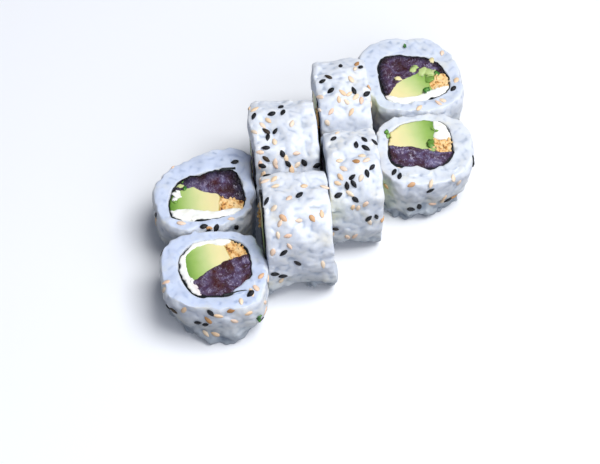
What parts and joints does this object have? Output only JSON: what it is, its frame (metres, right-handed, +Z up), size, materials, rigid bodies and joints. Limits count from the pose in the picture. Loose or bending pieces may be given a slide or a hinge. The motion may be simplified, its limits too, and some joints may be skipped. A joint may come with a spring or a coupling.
{
  "type": "uramaki roll",
  "caption": "Sliced inside-out sushi roll: rice outside, seaweed ring, tuna, avocado, cream cheese and crisp crumbs inside, set out in staggered pairs.",
  "frame": {"origin": "on the surface the slices rest on, under the middle of the whole set", "axes": "+Z up; +X along the axis of the lying slices, from the left pair to the right pair; +Y from the nearer slices to the farther ones"},
  "size_m": [0.1256, 0.1292, 0.0377],
  "materials": {
    "rice": "steamed short-grain rice, moist and slightly glossy, bluish white",
    "nori": "soaked toasted seaweed, near black with a green cast",
    "tuna": "raw tuna, dark wine red, wet, with pale marbling",
    "avocado": "ripe avocado, green at the skin side and pale yellow towards the stone side",
    "cream_cheese": "soft white cheese, satin",
    "crunch": "golden tan fried crumbs, dry and rough"
  },
  "bodies": {
    "root": {"rice_1": "rice", "nori_1": "nori", "tuna_1": "tuna", "avocado_1": "avocado", "cream_cheese_1": "cream_cheese", "crunch_1": "crunch", "rice_2": "rice", "nori_2": "nori", "tuna_2": "tuna", "avocado_2": "avocado", "cream_cheese_2": "cream_cheese", "crunch_2": "crunch", "rice_3": "rice", "nori_3": "nori", "tuna_3": "tuna", "avocado_3": "avocado", "cream_cheese_3": "cream_cheese", "crunch_3": "crunch", "rice_4": "rice", "nori_4": "nori", "tuna_4": "tuna", "avocado_4": "avocado", "cream_cheese_4": "cream_cheese", "crunch_4": "crunch", "rice_5": "rice", "nori_5": "nori", "tuna_5": "tuna", "avocado_5": "avocado", "cream_cheese_5": "cream_cheese", "crunch_5": "crunch", "rice_6": "rice", "nori_6": "nori", "tuna_6": "tuna", "avocado_6": "avocado", "cream_cheese_6": "cream_cheese", "crunch_6": "crunch", "rice_7": "rice", "nori_7": "nori", "tuna_7": "tuna", "avocado_7": "avocado", "cream_cheese_7": "cream_cheese", "crunch_7": "crunch", "rice_8": "rice", "nori_8": "nori", "tuna_8": "tuna", "avocado_8": "avocado", "cream_cheese_8": "cream_cheese", "crunch_8": "crunch"}
  },
  "joints": []
}
